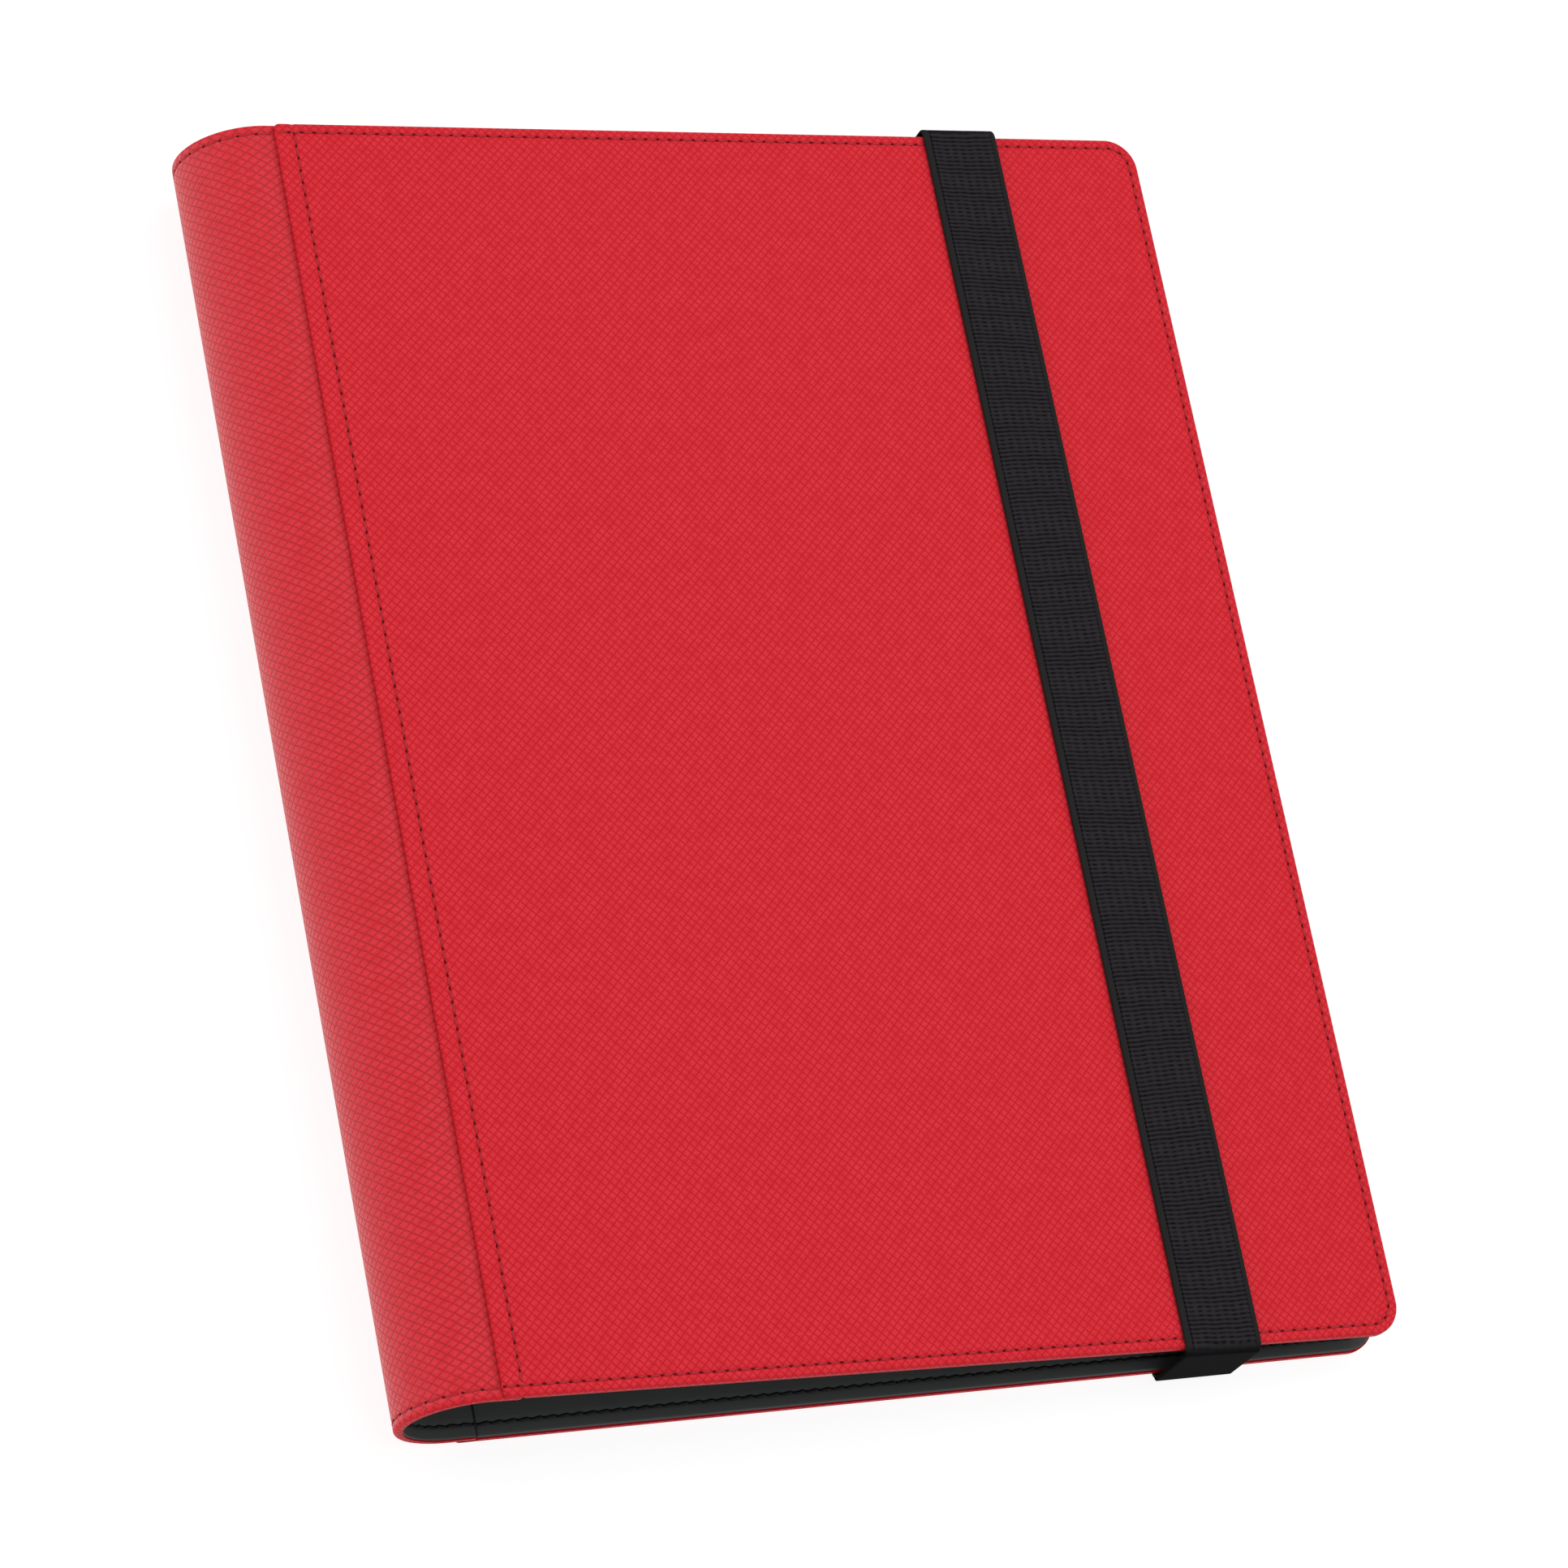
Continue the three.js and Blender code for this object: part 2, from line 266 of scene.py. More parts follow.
def cloth(piece, with_pieces=()):
    """Takes a piece and the pieces that go with it, and only turns the latter into a list."""
    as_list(with_pieces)


def spaced(low, high, step):
    return np.linspace(low, high, max(2, round((high - low) / step) + 1))


def lines(*groups):
    return np.unique(np.round(np.concatenate([np.atleast_1d(g) for g in groups]), 4))


def near(distance, width):
    return np.exp(-((distance / width) ** 2))


def sunk(distance, groove):
    depth, width = groove
    return depth * near(distance, width)


# ---- covers ----
# Along a skin: up the cover's side, round the roll, and from the cover's middle to its edges.
SIDE = RIM_DEPTH - EDGE_ROUND
ROLL = EDGE_ROUND * math.pi / 2
ROLL_EXTRA = SIDE + ROLL - EDGE_ROUND
U_FORE = FORE_X + ROLL_EXTRA
V_TOP = TOP_Y + ROLL_EXTRA


def rolled(s, depth):
    """Inset and depth of a skin that comes up a cover's edge and rolls over onto its face."""
    turn = np.clip((s - SIDE) / EDGE_ROUND, 0, math.pi / 2)
    inset = EDGE_ROUND * (1 - np.cos(turn)) + np.maximum(s - SIDE - ROLL, 0)
    down = EDGE_ROUND * (1 - np.sin(turn))
    return inset, down + (depth - EDGE_ROUND) * np.clip(1 - s / SIDE, 0, 1)


def round_corner(x, y, corner_x, corner_y, radius):
    """Wraps the square grid lines of a corner round its arc."""
    a = np.abs(x - corner_x)
    b = np.abs(y) - corner_y
    reach = np.maximum(np.maximum(a, b), 1e-9)
    angle = np.where(a >= b, b / reach, 2 - a / reach) * math.pi / 4
    inside = (np.sign(x - corner_x) == np.sign(radius)) & (b > 0) & (a > 0)
    new_x = np.where(inside, corner_x + np.sign(radius) * reach * np.cos(angle), x)
    new_y = np.where(inside, np.sign(y) * (corner_y + reach * np.sin(angle)), y)
    return new_x, new_y


def outline_rounding(x, y):
    x, y = round_corner(x, y, FORE_X - FORE_CORNER, TOP_Y - FORE_CORNER, FORE_CORNER)
    return round_corner(x, y, SEAM_X + SEAM_CORNER, TOP_Y - SEAM_CORNER, -SEAM_CORNER)


def cover_surfaces(tail_recess):
    """The outer and inner surface of a cover's skin. u and v are distances along the skin."""
    def rim_depth(u):
        """The hem over the spine is a single layer, with no turn-in under it."""
        return RIM_DEPTH + (SKIN - RIM_DEPTH) * np.clip(SEAM_X + HEM + 0.5 - u, 0, 1)

    def outer(u, v):
        fore_inset, fore_down = rolled(U_FORE - u, RIM_DEPTH)
        y_inset, y_down = rolled(V_TOP - np.abs(v), rim_depth(u))
        seam_turn = np.clip((u - SEAM_X) / SEAM_ROUND, 0, 1)
        seam_down = SKIN * (1 - np.sqrt(1 - (1 - seam_turn) ** 2 + 1e-12))
        x = np.where(u > FORE_X / 2, FORE_X - fore_inset, u)
        y = np.sign(v) * (TOP_Y - y_inset)
        h = np.maximum(np.maximum(fore_down, y_down), seam_down)
        from_row = np.abs(np.minimum(fore_inset, y_inset) - STITCH_INSET)
        from_row = np.minimum(from_row, np.abs(x - SEAM_X - HEM_STITCH))
        h = h + sunk(from_row, COVER_ROW)
        if tail_recess:
            h = np.where(in_recess(x, y), TAIL_DEPTH + 0.08, h)
        x, y = outline_rounding(x, y)
        return x, y, h

    def inner(u, v):
        x_in, x_h = under_rim(U_FORE - u)
        y_in, y_h = under_rim(V_TOP - np.abs(v))
        x = np.where(u > FORE_X / 2, FORE_X - x_in, u)
        y = np.sign(v) * (TOP_Y - y_in)
        h = np.minimum(np.maximum(x_h, y_h), rim_depth(u))
        h = np.where(u < SEAM_X + HEM - 0.4, SKIN, h)
        if tail_recess:
            h = np.where(in_recess(x, y), np.maximum(h, TAIL_DEPTH + 0.25), h)
        x, y = outline_rounding(x, y)
        return x, y, h

    return outer, inner


def under_rim(s):
    """Inset and depth of the inner side of a skin folded round the edge: across the turn-in,
    up the step at its end, and on along the skin."""
    across = np.clip(s / SIDE, 0, 1) * RIM_WIDTH
    step = np.clip((s - SIDE) / RIM_STEP, 0, 1)
    past_step = s > ROLL_EXTRA + RIM_WIDTH + RIM_STEP
    inset = np.where(past_step, s - ROLL_EXTRA, across + RIM_STEP * step)
    return inset, RIM_DEPTH + (SKIN - RIM_DEPTH) * step


# The recess for each strap end in the back cover's outer face.
RECESS_X = (STRAP_X0 - 0.2, STRAP_X0 + STRAP_WIDTH + 0.2)
RECESS_Y = TOP_Y - TAIL_LENGTH - 0.1


def in_recess(x, y):
    return (x > RECESS_X[0]) & (x < RECESS_X[1]) & (np.abs(y) > RECESS_Y)


# Grid lines from a skin's edge inwards, close together on the roll and in the stitch groove.
ROLL_LINES = np.array([
    0, 0.4, 0.85, 1.25, 1.5, 1.75, 2.0, 2.25, 2.5, 2.74, 3.0, 3.3, 3.5, 3.7, 3.9, 4.1, 4.24,
    4.4, 4.6, 4.8, 5.0, 5.3, 5.8, 6.6, 7.6, 8.6, 9.2,
])


def skin_rows():
    upper = V_TOP - ROLL_LINES
    return lines(-upper, upper, spaced(-TOP_Y + 14, TOP_Y - 14, 7))


def cover_lines(tail_recess):
    """The grid is fine over the hem, at the rolled edges and at the steps of the recess."""
    hem = SEAM_X + np.array([
        0, 0.06, 0.15, 0.3, 0.6, 1.1, 1.5, 2.2, 3.0, 3.6, 4.0, 4.3, 4.55, 4.78, 5.0, 5.25, 5.55,
        5.9, 6.5, 8.0,
    ])
    us = lines(hem, spaced(SEAM_X + 12, U_FORE - 14, 7), U_FORE - ROLL_LINES)
    vs = skin_rows()
    if tail_recess:
        step = np.array([-0.02, 0.02])
        left, right = [edge + step for edge in RECESS_X]
        us = lines(us, left, right)
        vs = lines(vs, RECESS_Y + step, -RECESS_Y - step)
    return us, vs


def make_cover_skin(half, materials):
    tail_recess = half == "back"
    outer, inner = cover_surfaces(tail_recess)
    us, vs = cover_lines(tail_recess)
    piece = slab(f"{half}_cover_leather", us, vs, outer, inner, PLACE[half], materials)
    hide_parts(f"{half}_cover_skin")
    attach(piece, f"{half}_cover")
    cloth(piece)


def make_cover_lining(half, materials):
    x0, x1, y1 = SEAM_X + HEM, FORE_X - LINING_INSET, TOP_Y - LINING_INSET
    groove = LINING_STITCH_INSET - LINING_INSET
    edge = np.array([0, 0.05, 0.15, 0.3, 0.5, 1.2])
    inward = lines(edge, groove + np.array([-0.85, -0.55, -0.3, 0, 0.3, 0.65, 1.55, 4.5]))
    us = lines(x0 + edge, spaced(x0 + 6, x1 - 12, 9), x1 - inward)
    vs = lines(-y1 + inward, y1 - inward, spaced(-y1 + 12, y1 - 12, 9))
    corner = FORE_CORNER - LINING_INSET

    def shape(x, y):
        return round_corner(x, y, x1 - corner, y1 - corner, corner)

    def face(u, v):
        inset = np.minimum(x1 - u, y1 - np.abs(v))
        edge_in = np.clip(np.minimum(inset, u - x0) / LINING_ROUND, 0, 1)
        h = LINING_FACE - LINING_ROUND * (1 - np.sqrt(1 - (1 - edge_in) ** 2))
        h = h - sunk(inset - groove, LINING_ROW)
        x, y = shape(u, v)
        return x, y, h

    def underside(u, v):
        x, y = shape(u, v)
        return x, y, np.full_like(u, LINING_TOP)

    piece = slab(f"{half}_cover_lining_cloth", us, vs, face, underside, PLACE[half], materials)
    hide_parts(f"{half}_cover_lining")
    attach(piece, f"{half}_cover")
    cloth(piece)


# ---- spine ----
PANELS = [
    "spine_back_1", "spine_back_2", "spine_back_3", "spine_middle", "spine_front_3",
    "spine_front_2", "spine_front_1",
]
FOLDS = len(PANELS) + 1
FOLD_LENGTH = SPINE_LENGTH / FOLDS
SPINE_CHAIN = ["back_cover", *PANELS, "front_cover"]
SPINE_STRIPS = ["back_hinge", *PANELS, "front_hinge"]


def section_nodes(index, layer):
    """The CAD strips that the section over fold number index stands for."""
    middle = FOLDS // 2
    first = index if index <= middle else index + 1
    last = index if index < middle else index + 1
    return [f"{strip}_{layer}" for strip in SPINE_STRIPS[first:last + 1]]


def spine_blend(piece, index):
    """Finds the stretch between two panels' middles over fold number index and the bodies on
    either side, and bakes the piece's transform. The piece is not bent.
    """
    around = np.array([index, index + 1]) * FOLD_LENGTH
    start, end = place_spine(around, np.zeros(2), np.zeros(2)) * MM
    bodies = SPINE_CHAIN[index:index + 2]
    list(bodies)
    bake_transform(piece)


def section_lines(low, high):
    """Fine steps at both ends, so that a section's shading runs on in its neighbour."""
    return lines(spaced(low, high, 0.7), [low + 0.04, high - 0.04])


def section_ends(index):
    low = -TAB_END if index == 0 else index * FOLD_LENGTH
    high = SPINE_LENGTH + TAB_END if index == FOLDS - 1 else (index + 1) * FOLD_LENGTH
    return low, high


def declare_sections(pieces):
    """A sheet has to be 10 mm wide at least, so the narrow middle sections go with the two
    outer ones, which are wider by their tabs."""
    middle = FOLDS // 2
    cloth(pieces[0], pieces[1:middle])
    cloth(pieces[-1], pieces[middle:-1])


def spine_outer(s, v):
    inset, down = rolled(V_TOP - np.abs(v), SPINE_RIM)
    y = np.sign(v) * (TOP_Y - inset)
    past_hem = np.minimum(s + SEAM_X, SPINE_LENGTH + SEAM_X - s)
    crease = sunk(past_hem - 0.3, HEM_CREASE) * np.clip((inset - 0.8) / 1.7, 0, 1)
    return s, y, down + sunk(inset - STITCH_INSET, SPINE_ROW) + crease


def spine_inner(s, v):
    inset, down = under_rim(V_TOP - np.abs(v))
    depth = SPINE_SKIN + (down - SKIN) / (RIM_DEPTH - SKIN) * (SPINE_RIM - SPINE_SKIN)
    return s, np.sign(v) * (TOP_Y - inset), depth


def spine_sections(stem, vs, surfaces, materials, layer):
    """One piece for each fold."""
    pieces = []
    for index in range(FOLDS):
        low, high = section_ends(index)
        us = section_lines(low, high)
        piece = slab(f"{stem}_{index + 1}", us, vs, *surfaces, place_spine, materials)
        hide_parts(*section_nodes(index, layer))
        spine_blend(piece, index)
        pieces.append(piece)
    return pieces


def make_spine_skin(materials):
    """The second material covers the rolled edges at the spine's two ends."""
    surfaces = (spine_outer, spine_inner)
    pieces = spine_sections("spine_leather", skin_rows(), surfaces, materials, "skin")
    for piece in pieces:
        for face in piece.data.polygons:
            if abs(face.center.y) > (TOP_Y - EDGE_ROUND) * MM:
                face.material_index = 1
    declare_sections(pieces)


def make_spine_lining(materials):
    y1 = TOP_Y - LINING_INSET
    groove = TOP_Y - LINING_STITCH_INSET
    upper = lines(
        y1 - np.array([0, 0.1, 0.25, 0.5]), RIM_END_Y + np.array([0.05, -0.15]),
        groove + np.array([1.05, 0.75, 0.5, 0.3, 0.1, -0.15, -0.65, -1.75]),
    )
    vs = lines(-upper, upper, spaced(-y1 + 10, y1 - 10, 9))

    def face(s, v):
        edge_in = np.clip((y1 - np.abs(v)) / SPINE_LINING_ROUND, 0, 1)
        h = SPINE_LINING_FACE - SPINE_LINING_ROUND * (1 - edge_in) ** 2
        return s, v, h - sunk(groove - np.abs(v), SPINE_LINING_ROW)

    def underside(s, v):
        return s, v, np.where(np.abs(v) > RIM_END_Y, SPINE_RIM + 0.03, SPINE_SKIN + 0.25)

    surfaces = (face, underside)
    pieces = spine_sections("spine_lining", vs, surfaces, materials, "lining")
    declare_sections(pieces)


# ---- stitches ----
def capsule(length, width, height, along=6, around=8):
    """Points and faces of one stitch along its first axis, sunk halfway into the surface."""
    points = []
    for i in range(along + 1):
        t = -1 + 2 * i / along
        swell = math.sqrt(max(0.0, 1 - abs(t) ** 3))
        for j in range(around):
            turn = 2 * math.pi * j / around
            points.append((
                t * length / 2, swell * width / 2 * math.cos(turn),
                swell * height / 2 * math.sin(turn),
            ))
    faces = []
    for i in range(along):
        for j in range(around):
            after = (j + 1) % around
            a, b = i * around, (i + 1) * around
            faces.append((a + j, b + j, b + after, a + after))
    return np.array(points), faces


def sewn(name, rows, place, materials, length=2.5, width=0.62, height=0.5, sink=0.2, hole=0.4,
         twist=0.1, covered=None, stitch_pitch=STITCH_PITCH):
    """One stitch and one needle hole, an oval dot, every stitch_pitch along each row. The dot is
    dark, painted shade for the hole. A row is a function from the distance along it to (x, y,
    tangent x, tangent y), its length and its depth h. Stitches that lie where covered(x, y) is
    true are left out."""
    stitch, stitch_faces = capsule(length, width, height)
    dot, dot_faces = capsule(hole * 2.4, hole * 1.4, hole * 0.9, along=4)
    verts, faces, kinds = [], [], []
    total = 0
    for row, row_length, h in rows:
        count = max(1, int(row_length / stitch_pitch))
        pitch = row_length / count
        for k in range(count):
            shapes = (
                (stitch, stitch_faces, (k + 0.5) * pitch, sink, 0, twist),
                (dot, dot_faces, (k + 0.02) * pitch, sink - 0.07, 1, 0.0),
            )
            for shape, shape_faces, at, down, kind, turn in shapes:
                x, y, tx, ty = row(at)
                if covered is not None and covered(x, y):
                    continue
                along = shape[:, 0]
                across = shape[:, 1] + turn * shape[:, 0]
                px = x + along * tx - across * ty
                py = y + along * ty + across * tx
                verts.append(place(px, py, h + down - shape[:, 2]))
                faces.extend([tuple(total + i for i in f) for f in shape_faces])
                kinds.extend([kind] * len(shape_faces))
                total += len(shape)
    return new_object(name, np.concatenate(verts), faces, None, materials, kinds)


def straight(x0, y0, x1, y1, h=0.0):
    length = math.hypot(x1 - x0, y1 - y0)
    tx, ty = (x1 - x0) / length, (y1 - y0) / length
    return (lambda t: (x0 + t * tx, y0 + t * ty, tx, ty)), length, h


def quarter(cx, cy, radius, start, h=0.0):
    def at(t):
        angle = start + t / radius
        cos, sin = math.cos(angle), math.sin(angle)
        return cx + radius * cos, cy + radius * sin, -sin, cos
    return at, radius * math.pi / 2, h


def joined(rows):
    """Rows that follow each other, as one row."""
    def at(t):
        for row, length, _ in rows:
            if t <= length:
                return row(t)
            t -= length
        return rows[-1][0](rows[-1][1])

    return at, sum(row[1] for row in rows), rows[0][2]


def edge_row(x_start, h, inset):
    """Along the bottom edge, round both fore corners and back along the top edge."""
    radius = FORE_CORNER - inset
    x1, y1 = FORE_X - inset, TOP_Y - inset
    return joined([
        straight(x_start, -y1, x1 - radius, -y1, h),
        quarter(x1 - radius, -y1 + radius, radius, -math.pi / 2, h),
        straight(x1, -y1 + radius, x1, y1 - radius, h),
        quarter(x1 - radius, y1 - radius, radius, 0, h),
        straight(x1 - radius, y1, x_start, y1, h),
    ])


LINING_STITCH = {
    "length": 3.1, "width": 0.85, "height": 0.5, "sink": -0.04, "hole": 0.45, "twist": 0.16,
}


def make_lining_gap_shade(half, material):
    """The seam between a cover's lining and the spine's: a thin round black cord, painted shade
    in the gap between the two pieces of cloth.
    """
    y1 = RIM_END_Y
    x0 = SEAM_X + HEM - 0.12
    around = 12
    turns = np.arange(around) * 2 * math.pi / around
    ys = lines(spaced(-y1, y1, 4.0), [-y1 + 0.3, y1 - 0.3])
    turn, y = np.meshgrid(turns, ys, indexing="ij")
    swell = np.sqrt(np.clip((y1 - np.abs(y)) / 0.3, 0.05, 1))
    x = x0 + 0.27 * np.cos(turn) * swell
    h = LINING_FACE + 0.22 + 0.32 * np.sin(turn) * swell
    rows = len(ys)
    faces = (grid_faces(around + 1, rows) % (around * rows)).tolist()
    faces += [[i * rows + row for i in range(around)] for row in (0, rows - 1)]
    points = PLACE[half](x, y, h).reshape(-1, 3)
    piece = new_object(f"{half}_lining_gap_shade", points, faces, None, [material])
    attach(piece, f"{half}_cover")


def along_spine(reach, inset, h=0.0):
    """A row along either end of the spine, from reach before its curve to reach after it."""
    y = TOP_Y - inset
    return [straight(-reach, side * y, SPINE_LENGTH + reach, side * y, h) for side in (-1, 1)]


def outside_section(index):
    low, high = section_ends(index)
    return lambda s, y: not low <= s < high


def make_stitches(materials, lining_materials):
    hem_x = SEAM_X + HEM_STITCH
    y1 = TOP_Y - STITCH_INSET - 0.3
    for half in HALVES:
        rows = [
            edge_row(SEAM_X + 0.35, 0.0, STITCH_INSET),
            straight(hem_x, y1, hem_x, -y1),
        ]
        piece = sewn(
            f"{half}_cover_stitches", rows, PLACE[half], materials,
            covered=in_recess if half == "back" else None,
        )
        if half == "front":
            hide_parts("front_cover_stitching")
        else:
            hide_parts("back_cover_stitching_hem", "back_cover_stitching_fore")
        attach(piece, f"{half}_cover")
        inside = sewn(
            f"{half}_lining_stitches",
            [edge_row(SEAM_X + HEM + 0.5, LINING_FACE, LINING_STITCH_INSET)],
            PLACE[half], lining_materials, **LINING_STITCH,
        )
        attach(inside, f"{half}_cover")
    for index in range(FOLDS):
        elsewhere = outside_section(index)
        piece = sewn(
            f"spine_stitches_{index + 1}", along_spine(SEAM_X, STITCH_INSET), place_spine,
            materials, length=3.4, covered=elsewhere, stitch_pitch=SPINE_STITCH_PITCH,
        )
        spine_blend(piece, index)
        rows = along_spine(TAB_END, LINING_STITCH_INSET, SPINE_LINING_FACE)
        piece = sewn(
            f"spine_lining_stitches_{index + 1}", rows, place_spine, lining_materials,
            covered=elsewhere, **LINING_STITCH,
        )
        spine_blend(piece, index)


# ---- strap ----
SELVEDGE_LEFT = 1.6
SELVEDGE_RIGHT = 1.3
RIB_PITCH = 1.11
RIB_SAMPLES = 5
RIB_DEPTH = 0.23
DARKEST_DEPTH = 0.22
WALE_PITCH = 2.25

# Heights over the table of the strap's underside and of its wraps' lower ends, and the wraps'
# distance from the binder's middle.
STRAP_MIDDLE_X = STRAP_X0 + STRAP_WIDTH / 2
STRAP_UNDER = REACH / math.cos(WEDGE) - STRAP_MIDDLE_X * math.tan(WEDGE) + REACH + 0.12
STRAP_LOW = 1.25
STRAP_WALL = TOP_Y + 0.9
STRAP_BEND = 1.5
STRAP_RUN = STRAP_WALL - STRAP_BEND
STRAP_ARC = STRAP_BEND * math.pi / 2
STRAP_FOLD = STRAP_RUN + 0.5
STRAP_ENDS = (("bottom", -1), ("top", 1))


def strap_path(length):
    """(y, z, outward y, outward z) of the strap's underside, from the bottom wrap's lower end
    over the front cover to the top wrap's lower end. length 0 is the middle of the cover."""
    t = np.abs(length)
    turn = np.clip((t - STRAP_RUN) / STRAP_BEND, 0, math.pi / 2)
    drop = np.maximum(t - STRAP_RUN - STRAP_ARC, 0)
    y = np.minimum(t, STRAP_RUN) + STRAP_BEND * np.sin(turn)
    z = STRAP_UNDER - STRAP_BEND * (1 - np.cos(turn)) - drop
    side = np.sign(length)
    return side * y, z, side * np.sin(turn), np.cos(turn)


def scatter(a, b):
    """A steady value from 0 to 1 for each pair of whole numbers."""
    mixed = np.sin(a * 12.9898 + b * 78.233) * 43758.5453
    return mixed - np.floor(mixed)


def strap_relief(c, length):
    """Height of the webbing's face at c across it: plain selvedges, and cross ribs with thin
    grooves between them. Along some stretches the warp bridges the grooves and leaves rows of
    short dashes. It is plain past the fold over the cover's edge."""
    body = (c > SELVEDGE_LEFT + 0.3) & (c < STRAP_WIDTH - SELVEDGE_RIGHT - 0.3)
    wander = 0.35 * np.sin(c * 0.13 + length * 0.043) + 0.05 * np.sin(c * 1.1 - length * 0.11)
    t = length / RIB_PITCH + wander
    gap = (0.5 - 0.5 * np.cos(2 * math.pi * t)) ** 1.4
    wale = c / WALE_PITCH
    stretch = 0.5 + 0.5 * np.sin(length * 0.61 + 1.4 * np.sin(length * 0.17) + c * 0.05)
    bridge = (0.5 + 0.5 * np.cos(2 * math.pi * wale)) ** 1.3 * (0.3 + 0.6 * stretch)
    bridge = bridge * (0.4 + 0.6 * scatter(np.floor(t), np.round(wale)))
    uneven = 0.75 + 0.25 * scatter(np.floor(t) + 7, np.floor(wale))
    ribs = -RIB_DEPTH * gap * (1 - bridge) * uneven
    seams = near(c - SELVEDGE_LEFT - 0.15, 0.22) + near(c - STRAP_WIDTH + SELVEDGE_RIGHT, 0.22)
    line = -0.3 * seams * (0.5 + 0.5 * gap)
    edge = np.minimum(c, STRAP_WIDTH - c)
    rounding = -0.4 * (1 - np.clip(edge / 0.45, 0, 1)) ** 2
    pulled = np.clip((STRAP_FOLD + 1.4 - np.abs(length)) / 1.6, 0, 1)
    return (np.where(body, ribs, 0.02) + line) * pulled + rounding


def store_rib_depth(piece):
    """How deep each point lies between the ribs, from 0 to 1. The webbing's colour darkens with
    it, as painted shade between the ribs.
    """
    mesh = piece.data
    uv = np.empty(len(mesh.loops) * 2, dtype=np.float32)
    mesh.uv_layers["UVMap"].data.foreach_get("uv", uv)
    depth = np.zeros(len(mesh.vertices), dtype=np.float32)
    relief = strap_relief(*uv.reshape(-1, 2).T)
    depth[corner_vertices(mesh)] = np.clip(-relief / DARKEST_DEPTH, 0, 1)
    layer = mesh.attributes.new("rib_depth", "FLOAT", "POINT")
    layer.data.foreach_set("value", depth)


def place_strap(x, length, h):
    y, z, out_y, out_z = strap_path(length)
    y = y + out_y * h
    z = z + out_z * h
    share = np.clip(z / STRAP_UNDER, 0, 1)
    lean = share * (x - STRAP_MIDDLE_X) * math.tan(WEDGE)
    return np.stack([x + AXIS_X, y, z - lean], axis=-1)


def strap_columns():
    edge = np.array([0, 0.12, 0.3, 0.6])
    seam = np.array([-0.35, -0.2, 0, 0.2, 0.35])
    left = SELVEDGE_LEFT + 0.15 + seam
    right = STRAP_WIDTH - SELVEDGE_RIGHT + seam
    return lines(edge, left, spaced(left[-1], right[0], 0.4), right, STRAP_WIDTH - edge)


def make_strap(material):
    half_length = STRAP_RUN + STRAP_ARC + (STRAP_UNDER - STRAP_BEND - STRAP_LOW)
    rows = spaced(-half_length, half_length, RIB_PITCH / RIB_SAMPLES)

    def face(c, length):
        return c + STRAP_X0, length, STRAP_THICK + strap_relief(c, length)

    def underside(c, length):
        return c + STRAP_X0, length, np.full_like(c, 0.3)

    piece = ribbon(
        "elastic_webbing", strap_columns(), rows, face, underside, place_strap, [material],
    )
    store_rib_depth(piece)
    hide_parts("elastic_strap")
    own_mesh(piece)
    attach(piece, "strap")
    cloth(piece)


def place_tail(x, length, h):
    """From the wrap's lower end, round the back cover's edge and in along its outer face."""
    t = np.abs(length)
    turn = np.clip(t / STRAP_BEND, 0, math.pi / 2)
    inward = np.maximum(t - STRAP_ARC, 0)
    y = STRAP_WALL - STRAP_BEND * (1 - np.cos(turn)) - inward + np.cos(turn) * h
    z = TAIL_DEPTH + STRAP_BEND * (1 - np.sin(turn)) - 0.05 - np.sin(turn) * h
    return np.stack([x + AXIS_X, np.sign(length) * y, np.maximum(z, 0.0)], axis=-1)


def make_tail_stitches(materials):
    """A sewn rectangle with a cross in it holds each end of the webbing."""
    x0, x1 = STRAP_X0 + 2.6, STRAP_X0 + STRAP_WIDTH - 2.6
    y0, y1 = TOP_Y - TAIL_LENGTH + 2.0, TOP_Y - 5.5
    for name, side in STRAP_ENDS:
        corners = [(x0, side * y0), (x1, side * y0), (x1, side * y1), (x0, side * y1)]
        rows = [
            straight(*corners[a], *corners[b], TAIL_SEWING_DEPTH)
            for a, b in ((0, 1), (1, 2), (2, 3), (3, 0), (0, 2), (1, 3))
        ]
        piece = sewn(
            f"webbing_sewing_{name}", rows, place_back, materials, length=2.6, width=0.6,
            height=0.36, sink=0.0, hole=0.3,
        )
        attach(piece, "back_cover")


def make_tails(material):
    reach = STRAP_ARC + STRAP_RUN - (TOP_Y - TAIL_LENGTH)
    for name, side in STRAP_ENDS:
        rows = np.sort(side * spaced(0.001, reach, 0.3))

        def face(c, length):
            return c + STRAP_X0, length, 0.95 + 0.6 * strap_relief(c, length)

        def underside(c, length):
            return c + STRAP_X0, length, np.zeros_like(c)

        piece = ribbon(
            f"webbing_end_{name}", strap_columns(), rows, face, underside, place_tail, [material],
        )
        store_rib_depth(piece)
        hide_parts(f"strap_tail_{name}")
        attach(piece, "back_cover")
        cloth(piece)


# ---- pages ----
def leaf_heights(index):
    """Depth below the cover's outer face of a leaf's fold and of its fore-edge."""
    share = index / (LEAVES_IN_HALF - 1)
    middle_fold = REACH - LEAF_HINGE_X * math.tan(WEDGE / 2) - 2 * LEAF_CLEARANCE
    middle_end = REACH - LEAF_END_X * math.tan(WEDGE / 2) - LEAF_CLEARANCE
    fold = OUTER_FOLD_DEPTH + (middle_fold - OUTER_FOLD_DEPTH) * share
    return fold, OUTER_END_DEPTH + (middle_end - OUTER_END_DEPTH) * share


POCKET = (67.5, 95.5)
POCKET_LIP = 3.2
LEAF_MARGIN_X = 24.0


